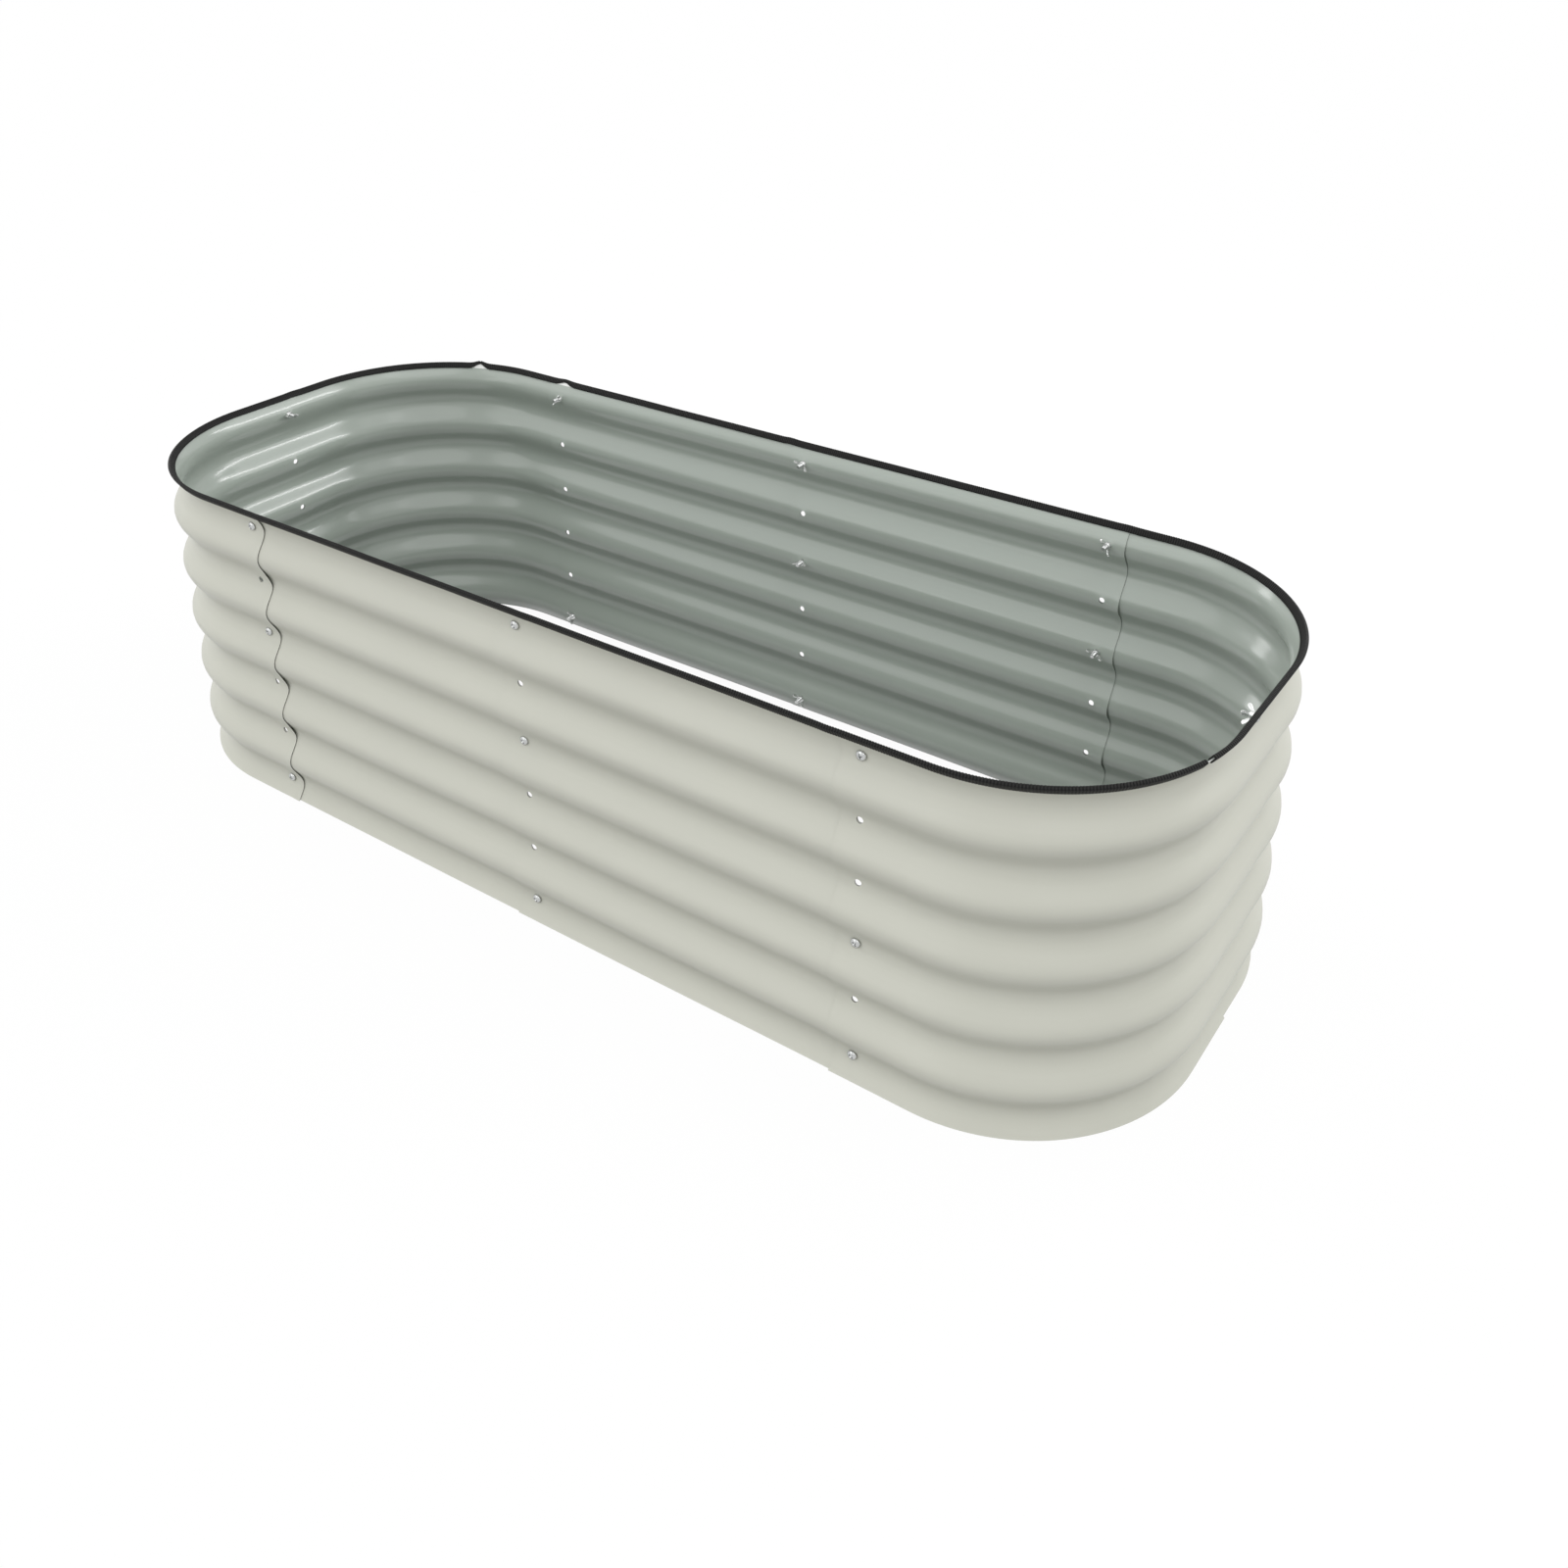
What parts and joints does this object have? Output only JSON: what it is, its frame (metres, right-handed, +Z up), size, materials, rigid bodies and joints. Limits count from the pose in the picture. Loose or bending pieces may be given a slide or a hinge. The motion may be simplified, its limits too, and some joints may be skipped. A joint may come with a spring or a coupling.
{
  "type": "raised garden bed",
  "caption": "Raised garden bed of corrugated steel panels, a rounded rectangle open at top and bottom, bolted at lapped joints, with rubber edging on the rim.",
  "frame": {"origin": "on the ground, in the middle of the bed's bounding box", "axes": "+Z up, +X along the bed towards the right end in the picture, -Y towards the long side that faces the camera"},
  "size_m": [1.524, 0.6096, 0.4343],
  "materials": {
    "panel_paint": "satin off-white paint outside, grey-green back coat inside",
    "fastener_zinc": "bright zinc plate",
    "edging_rubber": "matt black rubber, finely ribbed across"
  },
  "bodies": {
    "root": {"front_right_corner_panel": "panel_paint", "back_left_corner_panel": "panel_paint", "front_left_corner_panel": "panel_paint", "back_right_corner_panel": "panel_paint", "front_left_side_panel": "panel_paint", "back_right_side_panel": "panel_paint", "front_right_side_panel": "panel_paint", "back_left_side_panel": "panel_paint", "screw_front_left_row_1": "fastener_zinc", "screw_front_left_row_3": "fastener_zinc", "screw_front_left_row_6": "fastener_zinc", "screw_front_middle_row_1": "fastener_zinc", "screw_front_middle_row_3": "fastener_zinc", "screw_front_middle_row_6": "fastener_zinc", "screw_front_right_row_1": "fastener_zinc", "screw_front_right_row_4": "fastener_zinc", "screw_front_right_row_6": "fastener_zinc", "screw_right_end_row_1": "fastener_zinc", "screw_right_end_row_4": "fastener_zinc", "screw_right_end_row_6": "fastener_zinc", "screw_back_right_row_1": "fastener_zinc", "screw_back_right_row_3": "fastener_zinc", "screw_back_right_row_6": "fastener_zinc", "screw_back_middle_row_1": "fastener_zinc", "screw_back_middle_row_3": "fastener_zinc", "screw_back_middle_row_6": "fastener_zinc", "screw_back_left_row_1": "fastener_zinc", "screw_back_left_row_6": "fastener_zinc", "screw_left_end_row_1": "fastener_zinc", "screw_left_end_row_4": "fastener_zinc", "screw_left_end_row_6": "fastener_zinc", "wing_nut_front_left_row_1": "fastener_zinc", "wing_nut_front_left_row_3": "fastener_zinc", "wing_nut_front_left_row_6": "fastener_zinc", "wing_nut_front_middle_row_1": "fastener_zinc", "wing_nut_front_middle_row_3": "fastener_zinc", "wing_nut_front_middle_row_6": "fastener_zinc", "wing_nut_front_right_row_1": "fastener_zinc", "wing_nut_front_right_row_4": "fastener_zinc", "wing_nut_front_right_row_6": "fastener_zinc", "wing_nut_right_end_row_1": "fastener_zinc", "wing_nut_right_end_row_4": "fastener_zinc", "wing_nut_right_end_row_6": "fastener_zinc", "wing_nut_back_right_row_1": "fastener_zinc", "wing_nut_back_right_row_3": "fastener_zinc", "wing_nut_back_right_row_6": "fastener_zinc", "wing_nut_back_middle_row_1": "fastener_zinc", "wing_nut_back_middle_row_3": "fastener_zinc", "wing_nut_back_middle_row_6": "fastener_zinc", "wing_nut_back_left_row_1": "fastener_zinc", "wing_nut_back_left_row_6": "fastener_zinc", "wing_nut_left_end_row_1": "fastener_zinc", "wing_nut_left_end_row_4": "fastener_zinc", "wing_nut_left_end_row_6": "fastener_zinc", "edging_strip_right": "edging_rubber", "edging_strip_left": "edging_rubber"}
  },
  "joints": []
}
